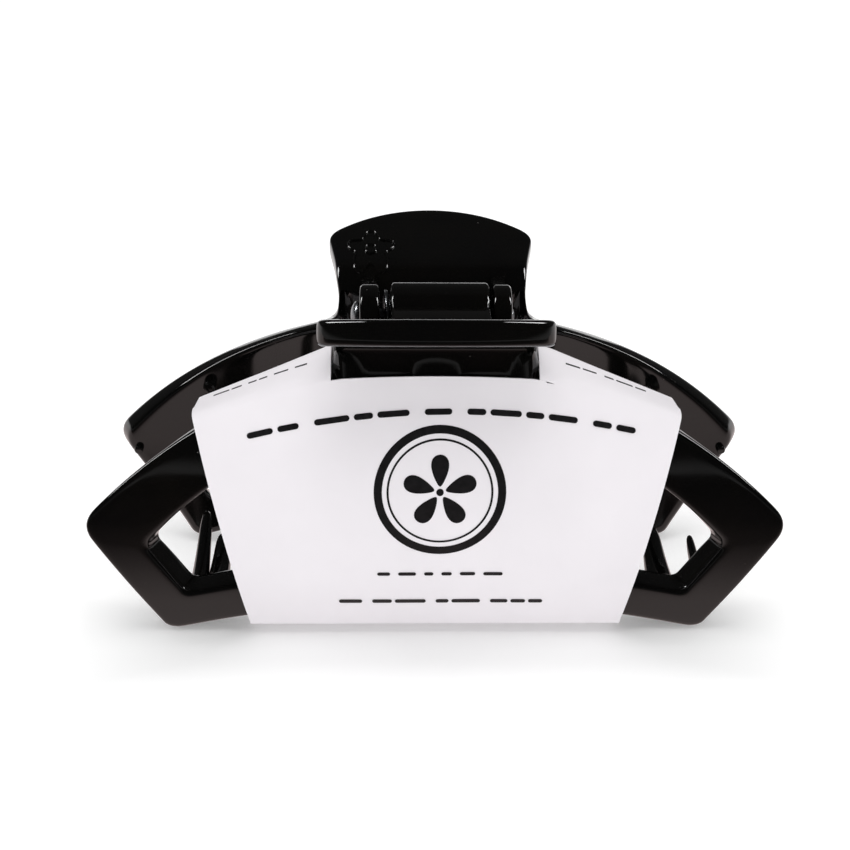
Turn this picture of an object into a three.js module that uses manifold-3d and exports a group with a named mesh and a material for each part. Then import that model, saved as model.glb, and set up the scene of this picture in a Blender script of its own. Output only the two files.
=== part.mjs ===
// Claw clip for hair: two moulded jaws on a steel pin, held shut by a torsion spring,
// with a folded card sleeve on the front jaw.
// Millimetres. X runs along the clip, +Y to the rear jaw, +Z up. The origin is on the
// surface that the clip stands on, below the middle of the pin.
import * as THREE from 'three';
import { mergeVertices } from 'three/addons/utils/BufferGeometryUtils.js';
import Module from 'manifold-3d';

// ---------------------------------------------------------------- driving dimensions
const CLEARANCE = 0.3;             // between neighbouring pieces
const FINENESS = 0.005;            // edges and ridges finer than this are merged away

const TIP = [53.4, 18.8];          // the pointed end before it is rounded
const TIP_ROUND = [2, 3];          // how far its rounding runs along the arch and the side
const FOOT_X = [39.6, 40.9];       // flat foot under each end of the lower bar
const FOOT_ROUND = 1.8;
const SIDE_FOOT_X = 41.2;          // where the sloping side would meet the ground
const ARCH_R = 72.2;               // upper edge of a jaw, seen from the front
const ARCH_Z = -29.8;
const LOWER_R = 155;               // lower edge, hollow towards the middle
const LOWER_RISE = 5.1;
const WINDOW_TOP_R = 57.9;         // the large window in each jaw
const WINDOW_TOP_Z = -22.6;
const WINDOW_SIDE = [42.5, 15.6];  // its outer corner
const WINDOW_FOOT_X = 38;          // its lower corner
const LOWER_BAR = 6;               // height of the bar below it
const WINDOW_ROUND = 2;

const WALL_R = 60;                 // bulge of a jaw, seen from the end
const BULGE_Y = 18.8;
const BULGE_Z = 14.5;
const NECK_Z = 39.5;               // where the wall turns outwards into the thumb tab
const NECK_R = 5;
const NECK_HALF = 15.1;
const NECK_FILLET = 2.5;
const UNDER_TAB_FILLET = 1.1;      // between the wall's outer face and the tab's underside
const DRAW_IN = { end: 1.9, from: 24, to: 52 };  // the ends narrow towards the inner face
const WALL_THICK = { foot: 5.2, neck: 3.3, tab: 3.8 };

const TAB_SLOPE = 19.6;            // degrees above level
const TAB_HALF = 16.6;
const TAB_CORNER_Y = 21.9;
const TAB_TIP_Y = 28.9;
const TAB_ROUND = 2;
const TAB_FROM_Z = 43;             // the tab overlaps the top of the frame
const FRAME_TO_Z = 47;
const TAB_SPREAD_Y = 13;           // the sides of the tab spread from here

const PIN_Z = 45.2;
const PIN_R = 1.25;
const PIN_HEAD_R = 2.5;
const PIN_HEAD_THICK = 1.1;
const PIN_PROUD = 0.5;             // past the far ear
const HOOD_R = 5.3;                // spring hood of the front jaw
const HOOD_X = [-6.9, 8.15];
const HOOD_WALL = 0.8;
const HOOD_END = 1.4;
const EAR_R = 5;                   // ears of the rear jaw
const WEB_Z = [41.2, 48.4];        // webs from the neck to the hood and the ears
const BORE_REACH = 15;
const EAR_X = [[-11.6, -8.6], [8.65, 11.5]];

const WIRE = 0.9;                  // spring
const COIL_R = 3.7;
const COIL_X = [-7.8, 5.9];
const COIL_TURNS = 8;              // whole turns between the legs
const LEG_LEAN = 40;               // degrees from upright
const LEG_LENGTH = 9.3;

const FRONT_TEETH = [              // x, width, reach past the middle of the clip, tip height
  [-36.8, 2.8, 2.5, 10.2], [-33.9, 2.4, -1.5, 8.2], [-22, 2.8, 2, 9.2], [-7.4, 2.8, 2, 9.2],
  [7.4, 2.8, 2, 9.2], [22, 2.8, 2, 9.2], [36, 3.2, 0.5, 8.2], [42, 2, 0, 7],
];
const TOOTH_BEVEL = 0.5;
const REAR_TEETH = [-29.3, -14.7, 0, 14.7, 29.3].map((x) => [x, 2.8, 2, 9.2]);
const PEGS = [[36.5, 28.7, 1.1, 1.8], [49.2, 16.6, 0.9, 1.2]];  // x, z, radius, height

const CARD = 0.6;                  // sleeve thickness
const CARD_HALF = [28.4, 36.2];    // half width at the bottom fold and at the top fold
const CARD_FOOT_Z = 1.6;
const CARD_TOP_Z = 35;             // height of the top fold at the card's outer edge
const CARD_BACK_Z = [44.2, 35.3];  // height of the second fold, beside the neck and outside
const CARD_CUT_HALF = 15.7;        // cut-out round the neck
const CARD_CUT_Z = 39.9;
const CARD_CUT_BOW = 1.2;
const CARD_BACK_Y = 9;             // second fold, behind the upper edge of the jaw
const CARD_BACK_DROP = 6;
const CARD_TURN_IN = 4.5;          // turned in below the lower bar

// ------------------------------------------------------------------------- helpers
const wasm = await Module();
wasm.setup();
const RAD = Math.PI / 180;

function solid(geometry) {
  const bare = geometry.clone();
  bare.deleteAttribute('normal');
  bare.deleteAttribute('uv');
  const merged = mergeVertices(bare, 1e-4);
  return new wasm.Manifold(new wasm.Mesh({
    numProp: 3,
    vertProperties: new Float32Array(merged.attributes.position.array),
    triVerts: new Uint32Array(merged.index.array),
  }));
}

function geometryOf(manifold) {
  const { vertProperties, triVerts } = manifold.simplify(FINENESS).getMesh();
  const geometry = new THREE.BufferGeometry();
  geometry.setAttribute('position', new THREE.BufferAttribute(vertProperties, 3));
  geometry.setIndex(new THREE.BufferAttribute(triVerts, 1));
  geometry.computeVertexNormals();
  return geometry;
}

const join = (solids) => solids.reduce((whole, next) => whole.add(next));

const { lerp, clamp } = THREE.MathUtils;
const pointBetween = (a, b, share) => [0, 1].map((k) => lerp(a[k], b[k], share));

function shapeOf(points) {
  return new THREE.Shape(points.map(([a, b]) => new THREE.Vector2(a, b)));
}

// Points of a rounded corner from a to c, drawn towards b.
function corner(a, b, c, steps = 8) {
  return new THREE.QuadraticBezierCurve(...[a, b, c].map(([u, v]) => new THREE.Vector2(u, v)))
    .getPoints(steps).map(({ x, y }) => [x, y]);
}

function along(height, from, to, steps) {
  return Array.from({ length: steps + 1 }, (_, i) => lerp(from, to, i / steps))
    .map((x) => [x, height(x)]);
}

// Half an outline, from the middle round one end and back to the middle, made whole.
function mirrored(half) {
  return [...half, ...half.filter(([x]) => x > 0).reverse().map(([x, z]) => [-x, z])];
}

// A section drawn as (y, z), carried along X.
function alongX(shape, x0, x1, options = {}) {
  const section = { depth: x1 - x0, bevelEnabled: false, curveSegments: 16, ...options };
  const cyclic = new THREE.Matrix4().set(0, 0, 1, x0, 1, 0, 0, 0, 0, 1, 0, 0, 0, 0, 0, 1);
  return new THREE.ExtrudeGeometry(shape, section).applyMatrix4(cyclic);
}

// An outline drawn as (x, z), carried along Y.
function alongY(shape, y0, y1) {
  return new THREE.ExtrudeGeometry(shape, { depth: y1 - y0, bevelEnabled: false, curveSegments: 18 })
    .rotateX(Math.PI / 2).translate(0, y1, 0);
}

// An outline drawn as (x, y), carried up Z.
function alongZ(shape, z0, z1) {
  return new THREE.ExtrudeGeometry(shape, { depth: z1 - z0, bevelEnabled: false, curveSegments: 16 })
    .translate(0, 0, z0);
}

function rodAlongX(radius, x0, x1, y, z, sides = 24) {
  return new THREE.CylinderGeometry(radius, radius, x1 - x0, sides)
    .rotateZ(-Math.PI / 2).translate((x0 + x1) / 2, y, z);
}

// ------------------------------------------------------- side profile of the rear jaw
// Each station has the outer point, its outward normal and the wall thickness there.
const neckAngle = Math.asin((NECK_Z - BULGE_Z) / WALL_R);
const tabAngle = (TAB_SLOPE - 90) * RAD;

function wallStation(z) {
  const angle = Math.asin((z - BULGE_Z) / WALL_R);
  const normal = [Math.cos(angle), Math.sin(angle)];
  const share = Math.max(0, z) / NECK_Z;
  return {
    point: [BULGE_Y - WALL_R + WALL_R * normal[0], z],
    normal,
    thick: lerp(WALL_THICK.foot, WALL_THICK.neck, share),
  };
}

function bendCentre() {
  const { point, normal } = wallStation(NECK_Z);
  return [0, 1].map((k) => point[k] + NECK_R * normal[k]);
}

// The wall turns out into the tab. Inside it follows an arc about the centre of the bend;
// outside it rises straight, to a small fillet below the tab.
function shellSection() {
  const wallSteps = 9;
  const bendSteps = 8;
  const run = 16;
  const wall = along(wallStation, -1, NECK_Z, wallSteps).map(([, station]) => station);
  const inner = wall.map(({ point, normal, thick }) => point.map((v, k) => v - thick * normal[k]));
  const centre = bendCentre();
  const unit = (angle) => [Math.cos(angle), Math.sin(angle)];
  for (let i = 1; i <= bendSteps; i++) {
    const share = i / bendSteps;
    const reach = NECK_R + lerp(WALL_THICK.neck, WALL_THICK.tab, share);
    const normal = unit(lerp(neckAngle, tabAngle, share));
    inner.push([0, 1].map((k) => centre[k] - reach * normal[k]));
  }
  const normal = unit(tabAngle);
  const onward = [-normal[1], normal[0]];
  const bendEnd = [0, 1].map((k) => centre[k] - NECK_R * normal[k]);
  const wallTop = [centre[0] - NECK_R, centre[1]];
  const rise = bendEnd[1] - (bendEnd[0] - wallTop[0]) * Math.tan(TAB_SLOPE * RAD);
  const inside = [wallTop[0], rise];
  const fillet = corner([inside[0], rise - UNDER_TAB_FILLET], inside,
    inside.map((v, k) => v + UNDER_TAB_FILLET * onward[k]), 4);
  const outer = [...wall.map(({ point }) => point), wallTop, ...fillet];
  for (const side of [outer, inner]) {
    const last = side === outer ? bendEnd : inner[inner.length - 1];
    side.push(last.map((v, k) => v + run * onward[k]));
  }
  return shapeOf([...outer, ...inner.reverse()]);
}

const outerY = (z) => wallStation(z).point[0];
const innerY = (z) => outerY(z) - wallStation(z).thick;

// --------------------------------------------------------------------- jaw outlines
const archZ = (x) => ARCH_Z + Math.sqrt(ARCH_R ** 2 - x ** 2);
const lowerZ = (x) => Math.max(0, LOWER_RISE - x ** 2 / (2 * LOWER_R));

// The frame from the front: arch, pointed ends, feet, and the neck up to the thumb tab.
function frameOutline() {
  const joinX = NECK_HALF + NECK_FILLET;
  const roundX = TIP[0] - TIP_ROUND[0];
  const side = [TIP[0] - SIDE_FOOT_X, TIP[1]];
  const slope = side.map((v) => v / Math.hypot(...side));
  const belowTip = TIP.map((v, k) => v - slope[k] * TIP_ROUND[1]);
  const aboveFoot = [SIDE_FOOT_X + slope[0] * FOOT_ROUND, slope[1] * FOOT_ROUND];
  return shapeOf(mirrored([
    [NECK_HALF, FRAME_TO_Z],
    ...corner([NECK_HALF, archZ(NECK_HALF) + NECK_FILLET], [NECK_HALF, archZ(NECK_HALF)],
      [joinX, archZ(joinX)]),
    ...along(archZ, joinX, roundX, 18).slice(1),
    ...corner([roundX, archZ(roundX)], TIP, belowTip).slice(1),
    ...corner(aboveFoot, [SIDE_FOOT_X + 0.4, 0], [FOOT_X[1], 0], 5),
    [FOOT_X[0], 0],
    ...along(lowerZ, 37, 0, 5),
  ]));
}

function windowOutline() {
  const topZ = (x) => WINDOW_TOP_Z + Math.sqrt(WINDOW_TOP_R ** 2 - x ** 2);
  const bottomZ = (x) => LOWER_RISE - x ** 2 / (2 * LOWER_R) + LOWER_BAR;
  const foot = [WINDOW_FOOT_X, bottomZ(WINDOW_FOOT_X)];
  const topX = WINDOW_SIDE[0] - WINDOW_ROUND;
  const footX = WINDOW_FOOT_X - WINDOW_ROUND;
  return shapeOf(mirrored([
    ...along(topZ, 0, topX, 16),
    ...corner([topX, topZ(topX)], WINDOW_SIDE, pointBetween(foot, WINDOW_SIDE, 0.8)).slice(1),
    ...corner(pointBetween(foot, WINDOW_SIDE, 0.2), foot, [footX, bottomZ(footX)]),
    ...along(bottomZ, 30, 0, 4),
  ]));
}

// The pointed ends draw in towards the inner face of the wall.
function drawIn(vertex) {
  const [x, y, z] = vertex;
  if (z > NECK_Z) return;
  const depth = clamp((outerY(z) - y) / wallStation(z).thick, 0, 1);
  const share = clamp((Math.abs(x) - DRAW_IN.from) / (DRAW_IN.to - DRAW_IN.from), 0, 1);
  vertex[0] = x - Math.sign(x) * DRAW_IN.end * share * depth;
}

// The thumb tab from above: straight sides and a bowed end.
function tabOutline() {
  const sagitta = TAB_TIP_Y - TAB_CORNER_Y;
  const radius = (TAB_HALF ** 2 + sagitta ** 2) / (2 * sagitta);
  const tipY = (x) => TAB_TIP_Y - radius + Math.sqrt(radius ** 2 - x ** 2);
  const roundX = TAB_HALF - TAB_ROUND;
  return shapeOf(mirrored([
    [NECK_HALF, 6],
    [NECK_HALF, TAB_SPREAD_Y],
    ...corner([TAB_HALF, TAB_CORNER_Y - TAB_ROUND], [TAB_HALF, TAB_CORNER_Y], [roundX, tipY(roundX)]),
    ...along(tipY, roundX, 0, 12).slice(1),
  ]));
}

// ------------------------------------------------------------------------ jaw parts
// A tooth curls in and up from the inside of the lower bar, tapering to a round tip.
function tooth([x, width, reach, tipZ]) {
  const rootY = innerY(5) + 1;
  const root = [Math.max(2.6, lowerZ(x) + 1), lowerZ(x) + LOWER_BAR - 0.7];
  const dip = (root[0] + root[1]) / 2 - 1.2;
  const tipHalf = 0.7;
  const upper = corner([rootY, root[1]], [rootY * 0.5, dip + 3], [-reach, tipZ + tipHalf], 6);
  const lower = corner([-reach, tipZ - tipHalf], [rootY * 0.45, dip], [rootY, root[0]], 6);
  const shape = shapeOf([...upper, [-reach - 0.8, tipZ], ...lower]);
  const half = width / 2 - TOOTH_BEVEL;
  return solid(alongX(shape, x - half, x + half, { bevelEnabled: true, bevelThickness: TOOTH_BEVEL,
    bevelSize: TOOTH_BEVEL, bevelOffset: -TOOTH_BEVEL, bevelSegments: 1 }));
}

// Every jaw is drawn at the rear; the front one is turned half round.
function jawBody(teeth) {
  const section = shellSection();
  const span = TIP[0] + 1;
  const tabSpan = TAB_HALF + 1;
  const outline = solid(alongY(frameOutline(), 4, 26)).subtract(solid(alongY(windowOutline(), 4, 26)));
  const frame = solid(alongX(section, -span, span)).intersect(outline).warp(drawIn);
  const tab = solid(alongX(section, -tabSpan, tabSpan))
    .intersect(solid(alongZ(tabOutline(), TAB_FROM_Z, 60)));
  const pegs = PEGS.flatMap(([x, z, radius, height]) => [-1, 1].map((side) => solid(
    new THREE.CylinderGeometry(radius, radius, height + 1, 12)
      .translate(side * x, innerY(z) - (height - 1) / 2, z))));
  return join([frame, tab, ...teeth.map(tooth), ...pegs]);
}

// A knuckle round the pin, carried on a web from the inside of the neck.
function knuckleSection(radius) {
  const rootY = innerY(NECK_Z) + 0.8;
  const [top, under] = [1.15, 5.1];  // angles round the pin, from the outer side
  const shape = new THREE.Shape();
  shape.moveTo(rootY, WEB_Z[0]);
  shape.lineTo(rootY, WEB_Z[1]);
  shape.quadraticCurveTo(5, WEB_Z[1] - 0.2, radius * Math.cos(top), PIN_Z + radius * Math.sin(top));
  shape.absarc(0, PIN_Z, radius, top, under, false);
  shape.quadraticCurveTo(4.5, WEB_Z[0] + 0.8, rootY, WEB_Z[0]);
  return shape;
}

function ears() {
  const bore = solid(rodAlongX(PIN_R + CLEARANCE, -BORE_REACH, BORE_REACH, 0, PIN_Z));
  return join(EAR_X.map(([x0, x1]) => solid(alongX(knuckleSection(EAR_R), x0, x1)))).subtract(bore);
}

// The hood is a knuckle hollowed out for the coil. It is open below and at one end, has
// a wall with the pin's bore at the other, and a slot in the web for the spring's leg.
function hood() {
  const [x0, x1] = [-HOOD_X[1], -HOOD_X[0]];
  const block = solid(alongX(knuckleSection(HOOD_R), x0, x1));
  const hollowR = HOOD_R - HOOD_WALL;
  const underZ = WEB_Z[0] - 3;
  const cavity = new THREE.Shape();
  cavity.absarc(0, PIN_Z, hollowR, -0.2, Math.PI, false);
  cavity.lineTo(-HOOD_R - 1, PIN_Z);
  cavity.lineTo(-HOOD_R - 1, underZ);
  cavity.lineTo(hollowR - 0.1, underZ);
  const hollow = solid(alongX(cavity, x0 + HOOD_END, x1 + 1));
  const bore = solid(rodAlongX(PIN_R + CLEARANCE, x0 - 1, x0 + HOOD_END + 1, 0, PIN_Z));
  const slotRoot = innerY(NECK_Z) - 0.4;
  const slotTop = PIN_Z + 2;
  const slotShape = shapeOf([[0, underZ], [slotRoot, underZ], [slotRoot, slotTop - 3],
    [hollowR, slotTop], [0, slotTop]]);
  const slot = solid(alongX(slotShape, x0 + HOOD_END, -COIL_X[1] + WIRE));
  return block.subtract(hollow).subtract(bore).subtract(slot);
}

// --------------------------------------------------------------------- pin and spring
function pin() {
  const [start, end] = [EAR_X[0][0] - CLEARANCE, EAR_X[1][1] + PIN_PROUD];
  const outline = [[0, start - PIN_HEAD_THICK], [PIN_HEAD_R * 0.6, start - PIN_HEAD_THICK * 0.85],
    [PIN_HEAD_R * 0.95, start - PIN_HEAD_THICK * 0.4], [PIN_HEAD_R, start], [PIN_R, start],
    [PIN_R, end - 0.3], [PIN_R - 0.3, end], [0, end]];
  return new THREE.LatheGeometry(outline.map(([r, x]) => new THREE.Vector2(r, x)), 24)
    .rotateZ(-Math.PI / 2).translate(0, 0, PIN_Z);
}

// A close-wound coil about the pin, with a straight leg down to each jaw.
class SpringWire extends THREE.Curve {
  constructor() {
    super();
    this.lean = LEG_LEAN * RAD;
    this.sweep = (2 * COIL_TURNS + 1) * Math.PI - 2 * this.lean;
    this.coilLength = this.sweep * COIL_R;
    this.total = this.coilLength + 2 * LEG_LENGTH;
  }

  onCoil(share) {
    const angle = this.lean + share * this.sweep;
    return new THREE.Vector3(lerp(COIL_X[0], COIL_X[1], share),
      COIL_R * Math.cos(angle), PIN_Z + COIL_R * Math.sin(angle));
  }

  getPoint(t, target = new THREE.Vector3()) {
    const run = t * this.total;
    const along = run - LEG_LENGTH;
    if (along < 0) {
      return target.copy(this.onCoil(0))
        .add(new THREE.Vector3(0, -along * Math.sin(this.lean), along * Math.cos(this.lean)));
    }
    if (along > this.coilLength) {
      const past = along - this.coilLength;
      return target.copy(this.onCoil(1))
        .add(new THREE.Vector3(0, -past * Math.sin(this.lean), -past * Math.cos(this.lean)));
    }
    return target.copy(this.onCoil(along / this.coilLength));
  }
}

function spring() {
  const section = new THREE.Shape();
  section.absarc(0, 0, WIRE / 2, 0, 2 * Math.PI, false);
  return new THREE.ExtrudeGeometry(section,
    { steps: 110, curveSegments: 3, bevelEnabled: false, extrudePath: new SpringWire() });
}

// -------------------------------------------------------------------- card sleeve
// The card is a flat strip wrapped round the front jaw: turned in below the lower bar,
// up over the bulge, over the upper edge and down behind it. s counts the stretches.
function cardPoint(x, s, face) {
  const off = CLEARANCE + 0.1 + face * CARD;
  const across = clamp((Math.abs(x) - NECK_HALF) / (CARD_HALF[1] - NECK_HALF), 0, 1);
  const foldZ = lerp(CARD_CUT_Z + 2.3, CARD_TOP_Z, across);
  const backZ = lerp(CARD_BACK_Z[0], CARD_BACK_Z[1], across);
  const footY = outerY(CARD_FOOT_Z) + off;
  const footZ = CARD_FOOT_Z + (1 - face) * CARD;
  const lift = face * CARD;
  if (s <= 1) return [lerp(footY - CARD_TURN_IN, footY, s), footZ];
  if (s <= 2) {
    const z = lerp(footZ, foldZ, s - 1);
    return [outerY(Math.min(z, NECK_Z - 0.5)) + off, z];
  }
  const fold = [outerY(Math.min(foldZ, NECK_Z - 0.5)) + off, foldZ + lift];
  const back = [CARD_BACK_Y - face * CARD, backZ + lift];
  if (s <= 3) return pointBetween(fold, back, s - 2);
  return pointBetween(back, [back[0], backZ - CARD_BACK_DROP], s - 3);
}

function cardSleeve() {
  const stops = [0, 1];
  for (let i = 1; i <= 8; i++) stops.push(1 + i / 8);
  stops.push(3, 4);
  const strip = shapeOf([...stops.map((s) => [s, 1]), ...stops.slice().reverse().map((s) => [s, 0])]);
  const span = CARD_HALF[1] + 1;
  const sheet = alongX(strip, -span, span, { steps: 20 });
  const position = sheet.attributes.position;
  for (let i = 0; i < position.count; i++) {
    const x = position.getX(i);
    const [y, z] = cardPoint(x, position.getY(i), position.getZ(i));
    position.setXYZ(i, x, -y, z);
  }
  const [footHalf, topHalf] = CARD_HALF;
  const lean = (topHalf - footHalf) / (CARD_TOP_Z - CARD_FOOT_Z);
  const sides = [0, 50].map((z) => [footHalf + lean * (z - CARD_FOOT_Z), z]);
  const outline = shapeOf(mirrored(sides));
  const cut = new THREE.Shape();
  cut.moveTo(CARD_CUT_HALF, 60);
  cut.lineTo(-CARD_CUT_HALF, 60);
  cut.lineTo(-CARD_CUT_HALF, CARD_CUT_Z);
  cut.quadraticCurveTo(0, CARD_CUT_Z + 2 * CARD_CUT_BOW, CARD_CUT_HALF, CARD_CUT_Z);
  const behind = new THREE.BoxGeometry(2 * CARD_CUT_HALF, 6, 40).translate(0, -CARD_BACK_Y, CARD_CUT_Z);
  return solid(sheet).intersect(solid(alongY(outline, -30, 0)))
    .subtract(solid(alongY(cut, -30, 0))).subtract(solid(behind));
}

// ------------------------------------------------------------------------- assembly
const group = new THREE.Group();

function addPiece(name, geometry, colour, roughness, metalness = 0) {
  const material = new THREE.MeshStandardMaterial({ color: colour, roughness, metalness });
  const mesh = new THREE.Mesh(geometry, material);
  mesh.name = name;
  group.add(mesh);
  return mesh;
}

const GLOSS_BLACK = '#0c0c0b';
const turnedTeeth = FRONT_TEETH.map(([x, ...rest]) => [-x, ...rest]);
const frontJaw = addPiece('front_jaw', geometryOf(jawBody(turnedTeeth).add(hood())), GLOSS_BLACK, 0.12);
frontJaw.rotation.z = Math.PI;
addPiece('rear_jaw', geometryOf(jawBody(REAR_TEETH).add(ears())), GLOSS_BLACK, 0.12);
addPiece('hinge_pin', pin(), '#8c8f92', 0.25, 1);
addPiece('torsion_spring', spring(), '#8c8f92', 0.3, 1);
addPiece('card_sleeve', geometryOf(cardSleeve()), '#efebef', 0.7);

export default group;
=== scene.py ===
"""Claw clip for hair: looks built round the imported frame. Pieces are drawn in millimetres and
brought to metres when they are finished. X runs along the clip, +Y to the rear jaw, +Z up."""

import math
import random

import bpy
import numpy as np
from mathutils import Matrix, Vector


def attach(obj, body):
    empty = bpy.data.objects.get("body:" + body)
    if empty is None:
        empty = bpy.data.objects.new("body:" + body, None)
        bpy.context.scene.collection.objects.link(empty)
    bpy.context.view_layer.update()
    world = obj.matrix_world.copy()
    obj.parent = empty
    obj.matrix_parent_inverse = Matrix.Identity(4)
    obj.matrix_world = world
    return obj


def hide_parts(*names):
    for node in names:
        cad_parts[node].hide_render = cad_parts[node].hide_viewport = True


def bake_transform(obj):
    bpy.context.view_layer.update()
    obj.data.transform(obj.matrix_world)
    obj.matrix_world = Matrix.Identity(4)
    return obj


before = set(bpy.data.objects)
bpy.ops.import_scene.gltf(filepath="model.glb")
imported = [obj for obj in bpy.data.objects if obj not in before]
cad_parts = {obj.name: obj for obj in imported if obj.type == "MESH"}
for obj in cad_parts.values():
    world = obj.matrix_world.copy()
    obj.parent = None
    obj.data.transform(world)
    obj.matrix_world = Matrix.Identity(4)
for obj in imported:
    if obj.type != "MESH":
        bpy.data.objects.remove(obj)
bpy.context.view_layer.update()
MM = 0.001

# ------------------------------------------------------------------ the jaw's own dimensions
ARCH_R, ARCH_Z = 72.2, -29.8            # upper edge of a jaw, seen from the front
LOWER_R, LOWER_RISE, LOWER_BAR = 155.0, 5.1, 6.5
FOOT_X = (39.6, 41.2)
TIP = (53.4, 18.8)                      # the pointed end before it is rounded
WINDOW_R, WINDOW_Z = 57.9, -22.6
WINDOW_SIDE, WINDOW_FOOT_X, WINDOW_TOP_END = (43.5, 15.2), 38.0, 42.6
WALL_R, BULGE_Y, BULGE_Z = 60.0, 18.8, 14.5
NECK_Z, NECK_R, NECK_HALF = 39.5, 5.0, 14.95
THICK_FOOT, THICK_NECK, THICK_TAB = 5.2, 3.3, 3.8
TAB_SLOPE = math.radians(19.6)
TAB_HALF, TAB_CORNER_V, TAB_TIP_V = 16.5, 54.5, 61.8
PIN_Z = 45.2
FLAT = 4.0                              # plate thickness while it is still flat
NECK_TOP_V = 43.4                       # where the frame's outline ends and the tab begins
FOOT_LIFT, FOOT_LIFT_SHAPE = 1.4, 0.6   # how far the foot's edge draws up through the wall
LEAN_X, LEAN = [24, 36, 41, 52], [0, 0.8, 1.35, 1.9]    # how far the ends draw inwards
TAB_FILLET = 1.1                        # where the neck meets the tab's underside
TAB_CORNER_R, EDGE_R = 1.5, 0.8


# ------------------------------------------------------------------------ edit-mode helpers
def clear():
    bpy.ops.object.select_all(action="DESELECT")


def start(name, primitive, **settings):
    """Adds a primitive and leaves it as the only selected, active object."""
    clear()
    primitive(**settings)
    piece = bpy.context.object
    piece.name = piece.data.name = name
    return piece


def edit(piece, select="DESELECT", kind="VERT"):
    clear()
    piece.select_set(True)
    bpy.context.view_layer.objects.active = piece
    bpy.ops.object.mode_set(mode="EDIT")
    bpy.ops.mesh.select_mode(type=kind)
    bpy.ops.mesh.select_all(action=select)


def done():
    bpy.ops.object.mode_set(mode="OBJECT")


def points(piece):
    co = np.empty(len(piece.data.vertices) * 3)
    piece.data.vertices.foreach_get("co", co)
    return co.reshape(-1, 3)


def place(piece, co):
    """Moves every vertex to its new place."""
    piece.data.vertices.foreach_set("co", np.asarray(co, float).ravel())
    piece.data.update()


def pick(piece, test, kind="vertices"):
    """Selects by place, in object mode: vertices by coordinate, faces and edges by centre."""
    mesh = piece.data
    for group in (mesh.vertices, mesh.edges, mesh.polygons):
        group.foreach_set("select", [False] * len(group))
    co = points(piece)
    if kind == "vertices":
        for v in mesh.vertices:
            v.select = bool(test(co[v.index]))
    elif kind == "edges":
        for e in mesh.edges:
            e.select = bool(test(co[list(e.vertices)]))
    else:
        for f in mesh.polygons:
            f.select = bool(test(co[list(f.vertices)]))


def reopen(kind):
    bpy.ops.object.mode_set(mode="EDIT")
    bpy.ops.mesh.select_mode(type=kind)


def modify(piece, kind, **settings):
    clear()
    piece.select_set(True)
    bpy.context.view_layer.objects.active = piece
    modifier = piece.modifiers.new(kind.title(), kind)
    for key, value in settings.items():
        setattr(modifier, key, value)
    bpy.ops.object.modifier_apply(modifier=modifier.name)


def recalc(piece):
    edit(piece, "SELECT")
    bpy.ops.mesh.remove_doubles(threshold=1e-4)
    bpy.ops.mesh.normals_make_consistent(inside=False)
    done()


def sweep(name, rings):
    """A filled circle is extruded from ring to ring; each ring is a list of points."""
    count = len(rings[0])
    piece = start(name, bpy.ops.mesh.primitive_circle_add, vertices=count, radius=1,
                  fill_type="NGON")
    place(piece, rings[0])
    edit(piece, "SELECT")
    for _ in rings[1:]:
        bpy.ops.mesh.extrude_region_move()
    done()
    order = [np.asarray(r, float) for r in rings]
    place(piece, np.concatenate(order)[:len(piece.data.vertices)])
    recalc(piece)
    return piece


def unite(piece, others, operation="UNION"):
    for other in others:
        modify(piece, "BOOLEAN", operation=operation, object=other, solver="EXACT")
        bpy.data.objects.remove(other, do_unlink=True)
    return piece


def turn_half(piece):
    """A piece drawn at the rear is turned half round the upright axis, to the front."""
    co = points(piece)
    place(piece, co * (-1, -1, 1))


def finish_piece(piece, material, body, node=None, angle=35):
    """Brings a piece to metres, shades it, gives it its material and body, and hides the imported
    part named node.
    """
    place(piece, points(piece) * MM)
    clear()
    piece.select_set(True)
    bpy.context.view_layer.objects.active = piece
    bpy.ops.object.shade_smooth_by_angle(angle=math.radians(angle))
    piece.data.materials.clear()
    piece.data.materials.append(material)
    if body:
        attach(piece, body)
    if node:
        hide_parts(node)
    return piece


# ----------------------------------------------------------------------- side profile of a jaw
NECK_ANGLE = math.asin((NECK_Z - BULGE_Z) / WALL_R)
TAB_ANGLE = TAB_SLOPE - math.pi / 2
CENTRE = np.array([BULGE_Y - WALL_R + (WALL_R + NECK_R) * math.cos(NECK_ANGLE),
                   NECK_Z + NECK_R * math.sin(NECK_ANGLE)])
LEVEL_V = CENTRE[1]                     # below this height v is z; above it, length of run
BEND_V = LEVEL_V - TAB_ANGLE * NECK_R   # end of the bend, start of the flat tab


def outer_y(z):
    return BULGE_Y - WALL_R + np.sqrt(WALL_R ** 2 - (np.asarray(z, float) - BULGE_Z) ** 2)


def inner_table():
    rows = []
    for z in np.linspace(-3, NECK_Z, 120):
        a = math.asin((z - BULGE_Z) / WALL_R)
        thick = THICK_FOOT + (THICK_NECK - THICK_FOOT) * max(0, z) / NECK_Z
        rows.append((z - thick * math.sin(a), outer_y(z) - thick * math.cos(a)))
    for a in np.linspace(NECK_ANGLE, 0, 20)[1:]:
        share = (NECK_ANGLE - a) / (NECK_ANGLE - TAB_ANGLE)
        reach = NECK_R + THICK_NECK + (THICK_TAB - THICK_NECK) * share
        rows.append((CENTRE[1] - reach * math.sin(a), CENTRE[0] - reach * math.cos(a)))
    return np.array(rows)


INNER = inner_table()


def inner_y(z):
    return np.interp(z, INNER[:, 0], INNER[:, 1])


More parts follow.
